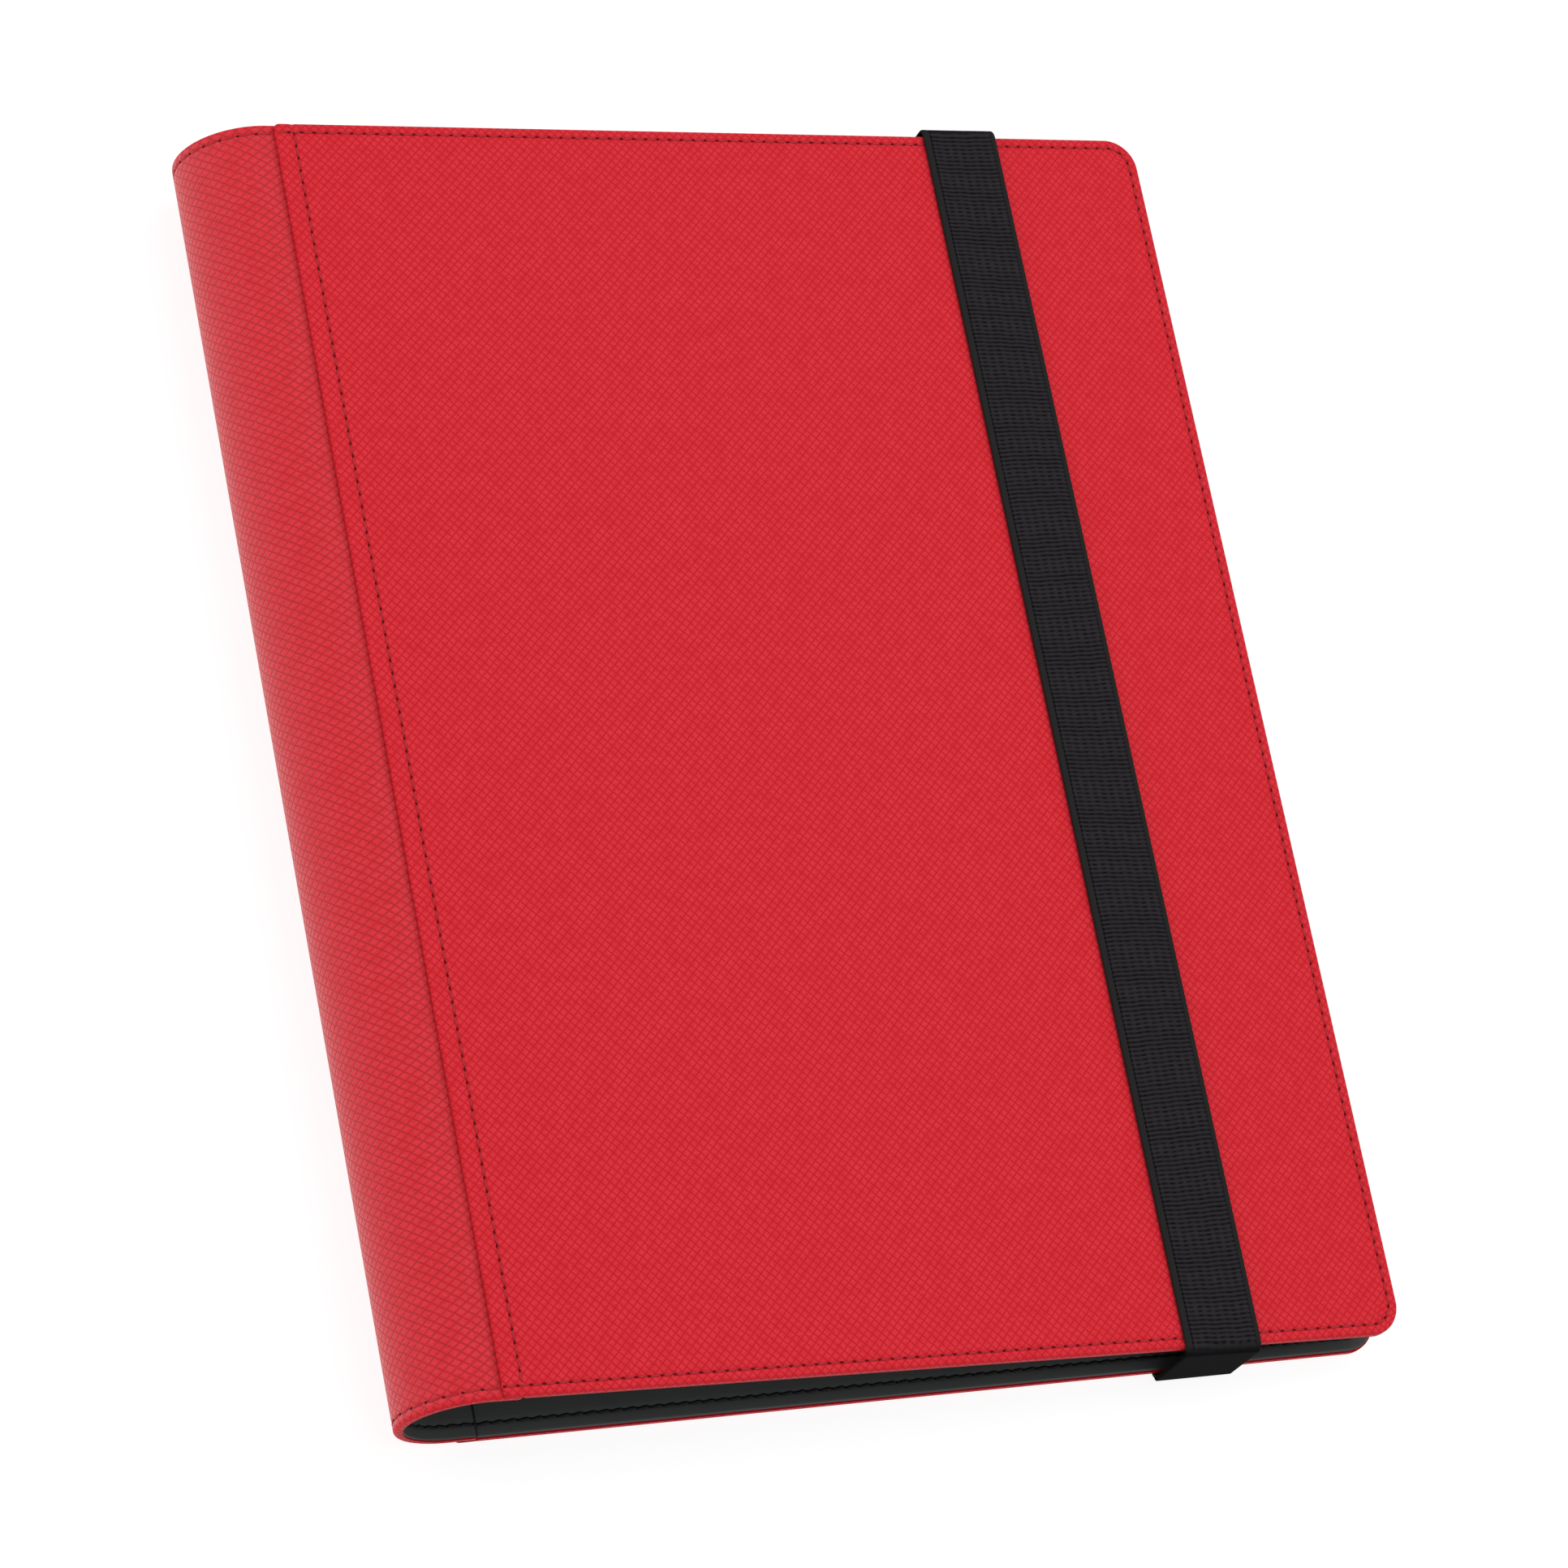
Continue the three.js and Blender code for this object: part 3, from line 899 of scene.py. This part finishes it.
def leaf_relief(x, y):
    """Puff of the clear pockets and the sunk weld lines between them."""
    col = (x - LEAF_MARGIN_X) / POCKET[0]
    row = (y + 1.5 * POCKET[1]) / POCKET[1]
    inside = (col > 0) & (col < 3) & (row > 0) & (row < 3)
    to_weld = np.minimum(
        np.abs(col - np.round(col)) * POCKET[0], np.abs(row - np.round(row)) * POCKET[1],
    )
    puff = 0.05 * np.clip((to_weld - 0.8) / 1.2, 0, 1)
    lip = 0.05 * near((col - np.floor(col)) * POCKET[0] - POCKET_LIP, 0.5)
    return np.where(inside, puff + lip * (to_weld > 1.5), 0.0)


def weld_lines(first, step, count, offsets=(-2.0, -0.8, 0, 0.8, 2.0)):
    return np.concatenate([first + i * step + np.array(offsets) for i in range(count)])


def make_leaf_mesh(material):
    length = LEAF_END_X - LEAF_HINGE_X
    y1 = LEAF_HEIGHT / 2
    lip_lines = weld_lines(LEAF_MARGIN_X + POCKET_LIP, POCKET[0], 3, (-0.8, -0.4, 0, 0.4, 0.8))
    xs = lines([0.6, 1.2], spaced(4, 20, 4), weld_lines(LEAF_MARGIN_X, POCKET[0], 4), lip_lines,
               [length - 1.0, length - 0.3, length])
    ys = lines([-y1, -y1 + 0.3, -y1 + 1.0], weld_lines(-1.5 * POCKET[1], POCKET[1], 4),
               [y1 - 1.0, y1 - 0.3, y1])

    def thickness(u, v):
        edge = np.minimum(length - u, y1 - np.abs(v))
        return 0.12 * np.clip(edge / 0.3, 0.3, 1) + leaf_relief(u, v)

    def face(u, v):
        return u, v, thickness(u, v)

    def underside(u, v):
        return u, v, -thickness(u, v)

    def place(x, y, h):
        return np.stack([x, y, h], axis=-1)

    piece = slab("leaf_pattern", xs, ys, face, underside, place, [material])
    mesh = piece.data
    bpy.data.objects.remove(piece)
    return mesh


def leaf_frame(half, index):
    """Place of a leaf's fold and the direction in which the leaf runs from it."""
    xs = np.array([LEAF_HINGE_X, LEAF_END_X])
    ends = PLACE[half](xs, np.zeros(2), np.array(leaf_heights(index)))
    origin = Vector(ends[0] * MM)
    along = (Vector(ends[1]) - Vector(ends[0])).normalized()
    up = along.cross(Vector((0, 1, 0)))
    matrix = Matrix((along, Vector((0, 1, 0)), up)).transposed().to_4x4()
    matrix.translation = origin
    return matrix


def make_margin(half, index, leaf_name, material):
    """The bendable inner margin that joins one leaf to the sewn block."""
    matrix = leaf_frame(half, index)
    start, end = BLOCK_FACE_X - LEAF_HINGE_X - 0.4, 9.0
    y1 = LEAF_HEIGHT / 2 - 0.4

    def face(u, v):
        return u, v, np.full_like(u, 0.1)

    def underside(u, v):
        return u, v, np.full_like(u, -0.1)

    def place(x, y, h):
        local = np.stack([x, y, h, np.full_like(x, 1 / MM)], axis=-1) * MM
        return (local @ np.array(matrix).T)[..., :3] / MM

    us = lines(spaced(start, 1.6, 0.25), [end])
    vs = spaced(-y1, y1, 15.0)
    piece = slab(f"{leaf_name}_margin", us, vs, face, underside, place, [material])
    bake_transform(piece)


def make_leaves(page_material, margin_material):
    mesh = make_leaf_mesh(page_material)
    for half in HALVES:
        for index in range(LEAVES_IN_HALF):
            number = index + 1 if half == "back" else 2 * LEAVES_IN_HALF - index
            name = f"leaf_{number:02d}"
            piece = add_object(f"{name}_pockets", mesh)
            piece.matrix_world = leaf_frame(half, index)
            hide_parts(name)
            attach(piece, name)
            make_margin(half, index, name, margin_material)


def make_binding(half, material):
    """The ten sewn margins as one block, with a groove between every two of them."""
    radius = SPINE_RADIUS - SPINE_LINING_FACE - 0.35
    y1 = LEAF_HEIGHT / 2 - 0.6
    folds = [leaf_heights(i)[0] for i in range(LEAVES_IN_HALF)]
    low_h = REACH - math.sqrt(radius ** 2 - BLOCK_FACE_X ** 2)
    high_h = REACH - BLOCK_FACE_X * math.tan(WEDGE / 2) * 0.35 - 0.45
    hs = lines(spaced(low_h, high_h, 0.23))

    def face(u, v):
        distance = np.min([np.abs(u - f) for f in folds], axis=0)
        relief = 0.35 * np.cos(np.clip(distance / 0.71, 0, 1) * math.pi / 2) ** 2
        return np.full_like(u, BLOCK_FACE_X - 0.45) + relief, v, u

    def back(u, v):
        x = -np.sqrt(np.maximum(radius ** 2 - (REACH - u) ** 2, 0.0))
        return np.minimum(x, BLOCK_FACE_X - 0.5), v, u

    ys = spaced(-y1, y1, 10.0)
    piece = slab(f"{half}_page_block", hs, ys, face, back, PLACE[half], [material])
    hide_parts(f"{half}_page_binding")
    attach(piece, f"spine_{half}_2")


# ---- materials ----
class Nodes:
    """Short names for the nodes of one material."""

    def __init__(self, name):
        self.material = bpy.data.materials.new(name)
        self.material.use_nodes = True
        self.tree = self.material.node_tree
        self.shader = self.tree.nodes["Principled BSDF"]

    def link(self, source, target):
        self.tree.links.new(source, target)

    def feed(self, socket, value):
        if isinstance(value, bpy.types.NodeSocket):
            self.link(value, socket)
        else:
            socket.default_value = value

    def math(self, operation, a, b=None, c=None, clamp=False):
        node = self.tree.nodes.new("ShaderNodeMath")
        node.operation = operation
        node.use_clamp = clamp
        for socket, value in zip(node.inputs, (a, b, c)):
            if value is not None:
                self.feed(socket, value)
        return node.outputs[0]

    def uv(self):
        node = self.tree.nodes.new("ShaderNodeUVMap")
        node.uv_map = "UVMap"
        split = self.tree.nodes.new("ShaderNodeSeparateXYZ")
        self.link(node.outputs[0], split.inputs[0])
        return node.outputs[0], split.outputs[0], split.outputs[1]

    def place(self):
        return self.tree.nodes.new("ShaderNodeTexCoord").outputs["Object"]

    def attribute(self, name):
        node = self.tree.nodes.new("ShaderNodeAttribute")
        node.attribute_name = name
        return node.outputs["Fac"]

    def noise(self, vector, scale, detail=2.0, roughness=0.5):
        node = self.tree.nodes.new("ShaderNodeTexNoise")
        self.link(vector, node.inputs["Vector"])
        node.inputs["Scale"].default_value = scale
        node.inputs["Detail"].default_value = detail
        node.inputs["Roughness"].default_value = roughness
        return node.outputs["Fac"]

    def cell_noise(self, a, b):
        """A steady random value in each cell of the lattice of a and b."""
        joined_ids = self.tree.nodes.new("ShaderNodeCombineXYZ")
        self.link(self.math("ROUND", a), joined_ids.inputs[0])
        self.link(self.math("ROUND", b), joined_ids.inputs[1])
        node = self.tree.nodes.new("ShaderNodeTexWhiteNoise")
        self.link(joined_ids.outputs[0], node.inputs["Vector"])
        return node.outputs["Value"]

    def mix(self, factor, a, b):
        node = self.tree.nodes.new("ShaderNodeMix")
        node.data_type = "RGBA"
        self.feed(node.inputs["Factor"], factor)
        self.feed(node.inputs["A"], a)
        self.feed(node.inputs["B"], b)
        return node.outputs["Result"]

    def bump(self, height, distance):
        node = self.tree.nodes.new("ShaderNodeBump")
        node.inputs["Strength"].default_value = 1.0
        node.inputs["Distance"].default_value = distance
        self.link(height, node.inputs["Height"])
        self.link(node.outputs[0], self.shader.inputs["Normal"])

    def set(self, **values):
        for name, value in values.items():
            self.feed(self.shader.inputs[name.replace("_", " ")], value)


def srgb(r, g, b):
    def linear(c):
        c = c / 255
        return c / 12.92 if c <= 0.04045 else ((c + 0.055) / 1.055) ** 2.4
    return (linear(r), linear(g), linear(b), 1.0)


WHITE = (1.0, 1.0, 1.0, 1.0)
LEATHER = srgb(204, 32, 43)
LEATHER_LIT = srgb(215, 48, 61)
# Painted shade for the weave's grooves.
LEATHER_GROOVE_SHADE = srgb(158, 20, 27)
# Painted shade for the leather where it turns round an edge.
LEATHER_EDGE_SHADE = srgb(170, 18, 31)


def diamond_weave(name, diamond, contrast, bump_mm, sheen, lean):
    """Coated textile: raised diamonds, of the given width and height, between two crossing sets
    of fine, uneven grooves. The grooves are darkened as painted shade. The diamonds' raised
    middles are lighter, partly random tone and partly painted highlight. It is darkened as
    painted shade where it turns round an edge. lean tilts the diamonds like scales."""
    n = Nodes(name)
    uv, u, v = n.uv()
    wobble = n.math("MULTIPLY", n.math("SUBTRACT", n.noise(uv, 0.35, 1.0), 0.5), 0.35)
    across = n.math("DIVIDE", n.math("ADD", u, wobble), diamond[0])
    along = n.math("DIVIDE", n.math("ADD", v, wobble), diamond[1])
    diagonals = [n.math(operation, across, along) for operation in ("ADD", "SUBTRACT")]
    to_line = [
        n.math("MULTIPLY", n.math("ABSOLUTE", n.math("SUBTRACT", n.math("FRACT", t), 0.5)), 2.0)
        for t in diagonals
    ]
    nearest = n.math("MAXIMUM", *to_line)
    first, second = [n.math("POWER", line, 8.0) for line in to_line]
    groove = n.math("MAXIMUM", first, n.math("MULTIPLY", second, 0.85))
    cell = n.cell_noise(*diagonals)
    fine = n.noise(uv, 2.6)
    uneven = n.noise(uv, 0.55)
    pillow = n.math("SUBTRACT", 1.0, n.math("POWER", nearest, 2.0), clamp=True)
    tilt = n.math("MULTIPLY", n.math("FRACT", n.math("ADD", diagonals[0], 0.5)), lean)
    height = n.math("SUBTRACT", n.math("MULTIPLY_ADD", pillow, 0.45, tilt), groove)
    height = n.math("MULTIPLY_ADD", fine, 0.16, height)
    height = n.math("MULTIPLY_ADD", cell, 0.12, height)
    depth = n.math("MULTIPLY_ADD", uneven, 1.6 * contrast, 0.1)
    # Painted shade: the grooves are darkened.
    shade = n.math("MULTIPLY", groove, depth, clamp=True)
    speck = n.math("MULTIPLY_ADD", n.math("SUBTRACT", fine, 0.5), 2.4, 0.2)
    # The diamonds' raised middles are lighter: random tone and painted highlight.
    lit = n.math("MULTIPLY", pillow, n.math("MULTIPLY_ADD", cell, 0.8, speck), clamp=True)
    base = n.mix(shade, n.mix(lit, LEATHER, LEATHER_LIT), LEATHER_GROOVE_SHADE)
    # Painted shade: darker past the face's edge, where the leather turns round.
    past_top = n.math("SUBTRACT", n.math("ABSOLUTE", v), TOP_Y)
    past_edge = n.math("MAXIMUM", past_top, n.math("SUBTRACT", u, FORE_X))
    folded = n.math("MULTIPLY_ADD", past_edge, 0.5, 0.3, clamp=True)
    n.set(Base_Color=n.mix(folded, base, LEATHER_EDGE_SHADE), Specular_IOR_Level=0.08)
    n.set(Roughness=n.math("MULTIPLY_ADD", groove, 0.2, 0.47))
    n.set(Sheen_Weight=sheen, Sheen_Roughness=0.5, Sheen_Tint=(1.0, 0.85, 0.85, 1.0))
    n.bump(height, bump_mm * MM)
    return n.material


def lining_cloth():
    n = Nodes("lining_cloth")
    uv = n.uv()[0]
    fine = n.noise(uv, 3.0, 3.0)
    broad = n.noise(uv, 0.06)
    n.set(Base_Color=n.mix(broad, srgb(60, 62, 62), srgb(69, 71, 70)))
    n.set(Roughness=0.62, Specular_IOR_Level=0.35)
    n.bump(fine, 0.05 * MM)
    return n.material


def thread(name, colour, dark):
    n = Nodes(name)
    fibre = n.noise(n.place(), 2600.0)
    n.set(Base_Color=n.mix(fibre, colour, dark), Roughness=0.6, Specular_IOR_Level=0.3)
    n.bump(fibre, 0.05 * MM)
    return n.material


def plain_dark(name, colour, roughness=0.9):
    n = Nodes(name)
    speck = n.noise(n.place(), 900.0)
    lighter = tuple(min(1.0, c * 1.3 + 0.001) for c in colour[:3]) + (1.0,)
    n.set(Base_Color=n.mix(speck, colour, lighter), Roughness=roughness,
          Specular_IOR_Level=0.2)
    n.bump(speck, 0.03 * MM)
    return n.material


def elastic_webbing():
    """Ribs and selvedges are in the mesh. This adds the yarns' colour and their fine twist,
    painted shade between the ribs, and painted shade on the wraps past the fold.
    """
    n = Nodes("elastic_webbing")
    uv, u, v = n.uv()
    yarn = n.noise(uv, 4.0, 3.0, 0.6)
    before_right = n.math("LESS_THAN", u, STRAP_WIDTH - SELVEDGE_RIGHT)
    in_body = n.math("MULTIPLY", n.math("GREATER_THAN", u, SELVEDGE_LEFT), before_right)
    tops = n.mix(yarn, srgb(36, 34, 36), srgb(53, 50, 53))
    # Painted shade: near black deep between the ribs.
    body = n.mix(n.attribute("rib_depth"), tops, srgb(3, 3, 4))
    selvedge = n.mix(yarn, srgb(30, 31, 30), srgb(41, 42, 41))
    face = n.mix(in_body, selvedge, body)
    # Painted shade: past the fold, down over the cover's edges, the webbing is darker.
    past_fold = n.math("SUBTRACT", n.math("ABSOLUTE", v), STRAP_FOLD - 0.3)
    folded = n.math("DIVIDE", past_fold, 1.6, clamp=True)
    n.set(Base_Color=n.mix(folded, face, n.mix(yarn, srgb(6, 6, 6), srgb(10, 10, 10))))
    n.set(Roughness=0.85, Specular_IOR_Level=0.03)
    n.bump(yarn, 0.06 * MM)
    return n.material


def pocket_page():
    """Black backing under clear pockets, with a fine crossed pattern along each weld, and a pale
    line along each pocket's lip, a painted highlight on the film's edge.
    """
    n = Nodes("pocket_page")
    uv, u, v = n.uv()

    def to_weld(value, first, step):
        t = n.math("DIVIDE", n.math("SUBTRACT", value, first), step)
        part = n.math("SUBTRACT", t, n.math("ROUND", t))
        return n.math("MULTIPLY", n.math("ABSOLUTE", part), step)

    distance = n.math("MINIMUM", to_weld(u, LEAF_MARGIN_X, POCKET[0]),
                      to_weld(v, -1.5 * POCKET[1], POCKET[1]))
    weld = n.math("LESS_THAN", distance, 0.9)
    hatch = n.math("MULTIPLY", n.math("SINE", n.math("MULTIPLY", u, 8.0)),
                   n.math("SINE", n.math("MULTIPLY", v, 8.0)))
    ripple = n.noise(uv, 0.03)
    # Painted highlight: a pale line along each pocket's lip.
    into = n.math("FRACT", n.math("DIVIDE", n.math("SUBTRACT", u, LEAF_MARGIN_X), POCKET[0]))
    from_lip = n.math("ABSOLUTE", n.math("SUBTRACT", into, POCKET_LIP / POCKET[0]))
    lip = n.math("MULTIPLY", n.math("LESS_THAN", from_lip, 0.35 / POCKET[0]),
                 n.math("GREATER_THAN", distance, 1.4))
    lip = n.math("MULTIPLY", lip, n.math("GREATER_THAN", u, LEAF_MARGIN_X))
    backing = n.mix(weld, srgb(22, 23, 24), srgb(44, 45, 46))
    n.set(Base_Color=n.mix(lip, backing, srgb(104, 106, 108)))
    n.set(Roughness=n.math("MULTIPLY_ADD", weld, 0.3, 0.22))
    n.set(Specular_IOR_Level=0.5, Coat_Weight=0.7, Coat_Roughness=0.08)
    height = n.math("ADD", n.math("MULTIPLY", hatch, n.math("MULTIPLY", weld, 0.15)), ripple)
    n.bump(height, 0.25 * MM)
    return n.material


def greyboard():
    n = Nodes("greyboard")
    fibre = n.noise(n.place(), 700.0, 4.0, 0.7)
    n.set(Base_Color=n.mix(fibre, srgb(120, 113, 103), srgb(152, 146, 136)), Roughness=0.9)
    n.bump(fibre, 0.1 * MM)
    return n.material


# ---- stage ----
FLOOR_SIZE = 6000.0
FLOOR_DROP = 0.05
FLOOR_GREY = 0.2
FLOOR_GLOW = 0.86
ROOM_LIGHT = 0.72

# The camera looks down from the spine's side, over the bottom edge, and leans to the right.
CAMERA_AIM = Vector((-3.14, -10.46, 18.0)) * MM
CAMERA_AZIMUTH = math.radians(-48.438)
CAMERA_ELEVATION = math.radians(60.512)
CAMERA_ROLL = math.radians(40.905)
CAMERA_DISTANCE = 1583.3 * MM
LENS = 151.44
SENSOR = 36.0


def make_camera():
    data = bpy.data.cameras.new("camera")
    data.lens = LENS
    data.sensor_width = SENSOR
    data.clip_start = 0.05
    camera = add_object("camera", data)
    level = math.cos(CAMERA_ELEVATION)
    away = Vector((
        level * math.sin(CAMERA_AZIMUTH), -level * math.cos(CAMERA_AZIMUTH),
        math.sin(CAMERA_ELEVATION),
    ))
    turn = away.to_track_quat("Z", "Y").to_matrix().to_4x4()
    camera.matrix_world = (
        Matrix.Translation(CAMERA_AIM + away * CAMERA_DISTANCE) @ turn
        @ Matrix.Rotation(CAMERA_ROLL, 4, "Z")
    )
    bpy.context.scene.camera = camera


def area_light(name, position, target, size, power):
    """A round light, placed and sized in metres."""
    data = bpy.data.lights.new(name, "AREA")
    data.shape = "DISK"
    data.size = size
    data.energy = power
    light = add_object(name, data)
    light.location = position
    direction = Vector(target) - Vector(position)
    light.rotation_euler = direction.to_track_quat("-Z", "Y").to_euler()


def make_stage():
    n = Nodes("floor")
    n.set(Base_Color=(FLOOR_GREY,) * 3 + (1.0,), Roughness=0.9, Specular_IOR_Level=0.1)
    n.set(Emission_Color=WHITE, Emission_Strength=FLOOR_GLOW)
    signs = ((-1, -1), (1, -1), (1, 1), (-1, 1))
    corners = [(x * FLOOR_SIZE * MM, y * FLOOR_SIZE * MM, 0) for x, y in signs]
    mesh = bpy.data.meshes.new("floor")
    mesh.from_pydata(corners, [], [(0, 1, 2, 3)])
    mesh.materials.append(n.material)
    floor = add_object("floor", mesh)
    floor.location.z = -FLOOR_DROP * MM
    floor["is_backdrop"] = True
    world = bpy.data.worlds.new("studio")
    world.use_nodes = True
    background = world.node_tree.nodes["Background"]
    background.inputs["Color"].default_value = WHITE
    background.inputs["Strength"].default_value = ROOM_LIGHT
    bpy.context.scene.world = world
    bpy.context.scene.view_settings.view_transform = "Standard"
    area_light("key", (0.5, 0.35, 1.6), (0.02, 0, 0), size=1.8, power=12)
    area_light("spine_side", (-1.2, 0.3, 0.45), (-0.1, 0, 0.02), size=0.8, power=3)


# ---- assembly ----
make_camera()
make_stage()

cover_leather = diamond_weave(
    "cover_leather", (2.31, 2.31), contrast=0.55, bump_mm=0.08, sheen=0.0, lean=0.15,
)
spine_leather = diamond_weave(
    "spine_leather", (3.12, 2.28), contrast=0.75, bump_mm=0.14, sheen=0.35, lean=0.55,
)
lining = lining_cloth()
red_thread = thread("red_thread", srgb(186, 34, 43), srgb(150, 20, 29))
black_thread = thread("black_thread", srgb(14, 14, 14), srgb(5, 5, 5))
# Painted shade: the needle holes are dark dots.
needle_hole_shade = plain_dark("needle_hole_shade", srgb(80, 5, 11))
black_hole_shade = plain_dark("black_needle_hole_shade", srgb(4, 4, 4))
webbing = elastic_webbing()
page = pocket_page()
margin = plain_dark("page_margin", srgb(24, 25, 25), 0.6)
board = greyboard()

for half in HALVES:
    make_cover_skin(half, [cover_leather])
    make_cover_lining(half, [lining])
    # Painted shade in the gap between the cover's and the spine's linings.
    make_lining_gap_shade(half, black_thread)
    make_binding(half, margin)
    for material_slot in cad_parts[f"{half}_cover_board"].material_slots:
        material_slot.material = board
make_spine_skin([spine_leather, cover_leather])
make_spine_lining([lining])
make_stitches([red_thread, needle_hole_shade], [black_thread, black_hole_shade])
make_strap(webbing)
make_tails(webbing)
make_tail_stitches([black_thread, black_hole_shade])
make_leaves(page, margin)

boxes = {"cad": cad_box, "visual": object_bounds()}
{name: [[float(c) for c in corner] for corner in box] for name, box in boxes.items()}
